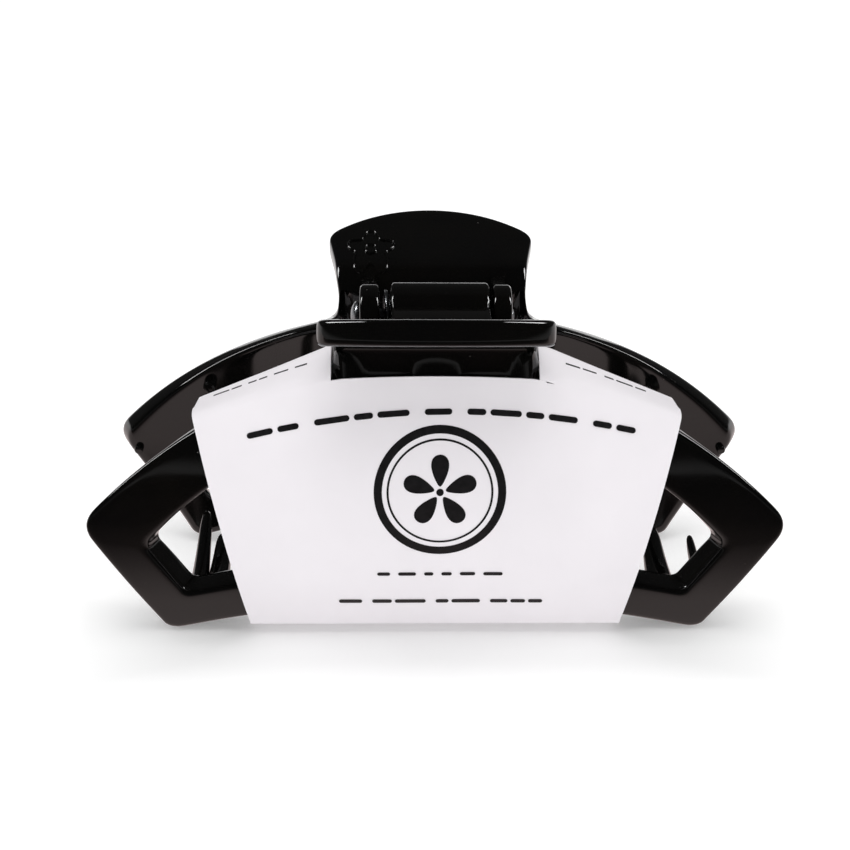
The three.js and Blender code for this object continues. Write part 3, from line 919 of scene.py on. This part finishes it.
def gloss_acrylic():
    """Black acrylic, injection moulded in a polished tool: a deep gloss with a trace of flow
    in the surface and a little settled dust. The dust is drawn coarser than it is, to show."""
    material, tree, shader = new_material("gloss_black_acrylic")
    where = add(tree, "ShaderNodeTexCoord")
    on = [("Vector", where, "Object")]
    tint = add(tree, "ShaderNodeTexNoise", on, Scale=1 / (9.0 * MM), Detail=3)
    colour = add(tree, "ShaderNodeValToRGB", [("Fac", tint, "Fac")],
                 [(0.35, linear("#060606")), (0.7, linear("#090807"))])
    dust = add(tree, "ShaderNodeTexVoronoi", on, Scale=1 / (1.7 * MM))
    speck = add(tree, "ShaderNodeValToRGB", [("Fac", dust, "Distance")],
                [(0.030, grey(1)), (0.045, grey(0))])
    sparse = add(tree, "ShaderNodeTexNoise", on, Scale=1 / (4.0 * MM), Detail=1)
    thin = add(tree, "ShaderNodeValToRGB", [("Fac", sparse, "Fac")],
               [(0.55, grey(0)), (0.62, grey(1))])
    both = add(tree, "ShaderNodeMath", [(0, speck, "Color"), (1, thin, "Color")],
               operation="MULTIPLY")
    dusty = add(tree, "ShaderNodeMix", [("Factor", both, 0), (6, colour, "Color")],
                values={7: linear("#8f8b88")}, data_type="RGBA")
    tree.links.new(dusty.outputs[2], shader.inputs["Base Color"])
    smear = add(tree, "ShaderNodeTexNoise", on, Scale=1 / (6.0 * MM), Detail=4)
    rough = add(tree, "ShaderNodeValToRGB", [("Fac", smear, "Fac")],
                [(0.3, grey(0.05)), (0.75, grey(0.11))])
    flow = add(tree, "ShaderNodeTexNoise", on, Scale=1 / (5.0 * MM), Detail=1)
    bump = add(tree, "ShaderNodeBump", [("Height", flow, "Fac")], Strength=0.05,
               Distance=0.12 * MM)
    join(tree, shader, Roughness=rough, Normal=bump)
    shader.inputs["IOR"].default_value = 1.49
    return material


def drawn_steel(name, base, streak_mm):
    """Steel wire, drawn through a die: bright, with faint lines along its length."""
    material, tree, shader = new_material(name)
    where = add(tree, "ShaderNodeTexCoord")
    stretch = add(tree, "ShaderNodeMapping", [("Vector", where, "Object")], Scale=(0.15, 1, 1))
    grain = add(tree, "ShaderNodeTexNoise", [("Vector", stretch, 0)], Scale=1 / (streak_mm * MM))
    colour = add(tree, "ShaderNodeValToRGB", [("Fac", grain, "Fac")],
                 [(0.3, linear(base[0])), (0.7, linear(base[1]))])
    rough = add(tree, "ShaderNodeValToRGB", [("Fac", grain, "Fac")],
                [(0.2, grey(0.18)), (0.8, grey(0.34))])
    bump = add(tree, "ShaderNodeBump", [("Height", grain, "Fac")], Strength=0.2,
               Distance=0.02 * MM)
    join(tree, shader, Base_Color=colour, Roughness=rough, Normal=bump)
    shader.inputs["Metallic"].default_value = 1.0
    return material


def sleeve_board():
    """Coated white board, about 300 g: nearly smooth, with a faint felt of fibres."""
    material, tree, shader = new_material("coated_white_board")
    where = add(tree, "ShaderNodeTexCoord")
    on = [("Vector", where, "Object")]
    cloud = add(tree, "ShaderNodeTexNoise", on, Scale=1 / (14.0 * MM), Detail=3)
    colour = add(tree, "ShaderNodeValToRGB", [("Fac", cloud, "Fac")],
                 [(0.3, linear("#f1edf1")), (0.7, linear("#f5f1f5"))])
    fibre = add(tree, "ShaderNodeTexNoise", on, Scale=1 / (0.35 * MM), Detail=4, Roughness=0.65)
    rough = add(tree, "ShaderNodeValToRGB", [("Fac", fibre, "Fac")],
                [(0.3, grey(0.50)), (0.7, grey(0.62))])
    bump = add(tree, "ShaderNodeBump", [("Height", fibre, "Fac")], Strength=0.12,
               Distance=0.03 * MM)
    join(tree, shader, Base_Color=colour, Roughness=rough, Normal=bump)
    shader.inputs["IOR"].default_value = 1.46
    return material


def printing_ink():
    """Black offset ink on the board: a thin, even, slightly mottled film."""
    material, tree, shader = new_material("offset_ink_black")
    where = add(tree, "ShaderNodeTexCoord")
    mottle = add(tree, "ShaderNodeTexNoise", [("Vector", where, "Object")],
                 Scale=1 / (0.6 * MM), Detail=3)
    colour = add(tree, "ShaderNodeValToRGB", [("Fac", mottle, "Fac")],
                 [(0.3, linear("#0f0e10")), (0.7, linear("#1b191c"))])
    rough = add(tree, "ShaderNodeValToRGB", [("Fac", mottle, "Fac")],
                [(0.3, grey(0.42)), (0.7, grey(0.55))])
    join(tree, shader, Base_Color=colour, Roughness=rough)
    shader.inputs["IOR"].default_value = 1.48
    return material


# ----------------------------------------------------------------------------------- pieces
acrylic = gloss_acrylic()
steel = drawn_steel("drawn_steel_pin", ("#6b6d70", "#85878a"), 0.25)
wire = drawn_steel("drawn_spring_wire", ("#77797c", "#9c9ea0"), 0.2)
board = sleeve_board()
ink = printing_ink()

rear = jaw("rear_jaw_moulding", REAR_TEETH, TAB_HALF + 0.3, -0.3)
unite(rear, [ears()])
unite(rear, [rib_ring(loop, 0.36, 0.3) for loop in flower_loops(-10.05, 50.2, 4.0, 4.9)])
finish_piece(rear, acrylic, "rear_jaw", "rear_jaw")

front = jaw("front_jaw_moulding", [(-x, w, r, z) for x, w, r, z in FRONT_TEETH],
            TAB_HALF + 0.6, 0.5)
unite(front, [hood()])
turn_half(front)
finish_piece(front, acrylic, "front_jaw", "front_jaw")

finish_piece(hinge_pin(), steel, "front_jaw", "hinge_pin", 50)
spring = finish_piece(torsion_spring(), wire, None, "torsion_spring", 60)
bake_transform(spring)

finish_piece(card_sleeve(), board, "front_jaw", "card_sleeve", 50)
finish_piece(sleeve_print(), ink, "front_jaw", None, 50)


# ------------------------------------------------------------------------- camera and studio
LENS, FILM = 67.75, 36
DOWN, YAW, ROLL = (math.radians(a) for a in (23.0, 1.506, 0.624))
AIM, DISTANCE = Vector((-1.43, 0, 27.1)) * MM, 252.53 * MM
UNDER_CLIP = -0.0001                    # the floor lies just below the feet, in metres


def make_camera():
    """A long lens from in front and above, turned and rolled a little."""
    data = bpy.data.cameras.new("camera")
    data.lens = LENS
    data.sensor_width = FILM
    data.clip_start = 0.01
    camera = bpy.data.objects.new("camera", data)
    bpy.context.scene.collection.objects.link(camera)
    ahead = Vector((math.sin(YAW) * math.cos(DOWN), math.cos(YAW) * math.cos(DOWN),
                    -math.sin(DOWN)))
    level = Vector((math.cos(YAW), -math.sin(YAW), 0))
    over = level.cross(ahead)
    right = math.cos(ROLL) * level + math.sin(ROLL) * over
    up = -math.sin(ROLL) * level + math.cos(ROLL) * over
    rotation = Matrix((right, up, -ahead)).transposed().to_4x4()
    camera.matrix_world = Matrix.Translation(AIM - ahead * DISTANCE) @ rotation
    bpy.context.scene.camera = camera


def softbox(name, at, aim, size, power, glossy=True, diffuse=True):
    data = bpy.data.lights.new(name, "AREA")
    data.shape = "RECTANGLE"
    data.size, data.size_y = size
    data.energy = power
    light = bpy.data.objects.new(name, data)
    bpy.context.scene.collection.objects.link(light)
    light.location = at
    light.rotation_euler = (Vector(aim) - Vector(at)).to_track_quat("-Z", "Y").to_euler()
    light.visible_glossy = glossy
    light.visible_diffuse = diffuse
    light.visible_camera = False


def share_across(tree, axis, span):
    """A value that goes from 0 to 1 over a span, in metres, centred on the clip."""
    where = add(tree, "ShaderNodeTexCoord")
    split = add(tree, "ShaderNodeSeparateXYZ", [("Vector", where, "Object")])
    return add(tree, "ShaderNodeMath", [(0, split, axis)], values={1: 1 / span, 2: 0.5},
               operation="MULTIPLY_ADD")


def lit_material(name):
    """A material that only gives light, and the node that its colour goes to."""
    material, tree, shader = new_material(name)
    tree.nodes.remove(shader)
    emit = add(tree, "ShaderNodeEmission")
    tree.links.new(emit.outputs[0], tree.nodes["Material Output"].inputs["Surface"])
    return material, tree, emit


def hide_from(piece, *rays):
    for ray in rays:
        setattr(piece, f"visible_{ray}", False)


def studio_floor():
    """Plain and pale. It glows a little so that it stays white; the glow is lowered just in front
    of the clip, painted shade that deepens the soft real shadow there."""
    floor = start("floor", bpy.ops.mesh.primitive_circle_add, vertices=64, radius=3,
                  fill_type="NGON")
    material, tree, shader = new_material("studio_floor")
    shader.inputs["Base Color"].default_value = grey(0.84)
    shader.inputs["Roughness"].default_value = 1.0
    shader.inputs["Specular IOR Level"].default_value = 0.0
    shader.inputs["Emission Color"].default_value = grey(1)
    depth = share_across(tree, "Y", 0.12)
    # painted shade: the glow drops between about 35 mm and 6 mm in front of the clip's middle,
    # lowest at 17 to 26 mm
    below = add(tree, "ShaderNodeValToRGB", [("Fac", depth, 0)],
                [(0.0, grey(0.38)), (0.21, grey(0.36)), (0.28, grey(0.18)), (0.36, grey(0.12)),
                 (0.45, grey(0.38)), (1.0, grey(0.42))])
    where = add(tree, "ShaderNodeTexCoord")
    split = add(tree, "ShaderNodeSeparateXYZ", [("Vector", where, "Object")])
    aside = add(tree, "ShaderNodeMath", [(0, split, "X")], operation="ABSOLUTE")
    wide = add(tree, "ShaderNodeMath", [(0, aside, 0)], values={1: 10.0}, operation="MULTIPLY")
    # the painted shade is held to the clip's width: full within 30 mm of the middle, gone past 60
    # mm
    painted_shade_across = add(tree, "ShaderNodeValToRGB", [("Fac", wide, 0)],
                 [(0.30, grey(0.12)), (0.60, grey(0.38))])
    # the floor's glow, with the painted shade in front of the clip
    glow = add(tree, "ShaderNodeMath", [(0, below, "Color"), (1, painted_shade_across, "Color")],
               operation="MAXIMUM")
    join(tree, shader, Emission_Strength=glow)
    floor.data.materials.append(material)
    floor.location.z = UNDER_CLIP
    floor.visible_glossy = False
    return floor


def reflected_room():
    """What the gloss sees: dark overhead and in front, pale round the horizon."""
    radius = 2.5
    dome = start("reflected_room", bpy.ops.mesh.primitive_uv_sphere_add, segments=48,
                 ring_count=24, radius=radius)
    material, tree, emit = lit_material("reflected_room")
    glow = add(tree, "ShaderNodeValToRGB", [("Fac", share_across(tree, "Z", 2 * radius), 0)],
               [(0.0, grey(0)), (0.44, grey(0.3)), (0.47, grey(0.6)), (0.51, grey(0.6)),
                (0.54, grey(0.03)), (1.0, grey(0.02))])
    front_dark = add(tree, "ShaderNodeValToRGB",
                     [("Fac", share_across(tree, "Y", 2 * radius), 0)],
                     [(0.50, grey(0.3)), (0.62, grey(1))])
    level = add(tree, "ShaderNodeMix", [(6, glow, "Color"), (7, front_dark, "Color")],
                data_type="RGBA", blend_type="MULTIPLY", Factor=1.0)
    tree.links.new(level.outputs[2], emit.inputs["Color"])
    emit.inputs["Strength"].default_value = 1.6
    dome.data.materials.append(material)
    hide_from(dome, "camera", "diffuse", "transmission", "volume_scatter", "shadow")
    return dome


def reflected_floor():
    """The smaller sheet that the gloss sees below the clip, paler towards the back."""
    sheet = start("reflected_floor", bpy.ops.mesh.primitive_circle_add, vertices=64,
                  radius=1.2, fill_type="NGON")
    material, tree, emit = lit_material("reflected_floor")
    fade = add(tree, "ShaderNodeValToRGB", [("Fac", share_across(tree, "Y", 0.4), 0)],
               [(0.0, (0.02, 0.016, 0.015, 1)), (0.30, (0.04, 0.03, 0.03, 1)),
                (0.37, (0.12, 0.09, 0.085, 1)), (0.405, (0.42, 0.34, 0.33, 1)),
                (0.44, (0.86, 0.72, 0.70, 1)), (1.0, (1.0, 0.98, 0.98, 1))])
    join(tree, emit, Color=fade)
    sheet.data.materials.append(material)
    sheet.location.z = UNDER_CLIP
    hide_from(sheet, "camera", "diffuse", "transmission", "volume_scatter", "shadow")
    return sheet


def white_backdrop():
    """The white that the camera sees behind the clip. Nothing else sees it."""
    backdrop = start("backdrop", bpy.ops.mesh.primitive_uv_sphere_add, segments=48,
                     ring_count=24, radius=2.8)
    backdrop.data.materials.append(lit_material("backdrop_white")[0])
    hide_from(backdrop, "glossy", "diffuse", "transmission", "volume_scatter", "shadow")
    return backdrop


def studio():
    """A pale floor and white room, a large soft light overhead and panels for the gloss."""
    scene = bpy.context.scene
    scene.view_settings.view_transform = "Standard"
    world = bpy.data.worlds.new("studio")
    scene.world = world
    world.use_nodes = True
    back = world.node_tree.nodes["Background"]
    back.inputs["Color"].default_value = grey(1)
    back.inputs["Strength"].default_value = 0.55
    floor = studio_floor()
    dome = reflected_room()
    sheet = reflected_floor()
    backdrop = white_backdrop()
    softbox("overhead", (0.0, -0.3, 2.3), (0, 0, 0), (1.4, 1.4), 16.0, glossy=False)
    softbox("front_fill", (0.0, -0.8, 0.45), (0, 0, 0.02), (0.8, 0.5), 1.5, glossy=False)
    softbox("rear_card", (0.0, 1.2, 0.14), (0, 0, 0.14), (1.0, 0.32), 1.7, diffuse=False)
    for side in (-1, 1):
        softbox("side_strip", (side * 0.73, 0.11, 0.66), (0, 0, 0.03), (0.16, 0.5), 4.5,
                diffuse=False)


make_camera()
studio()
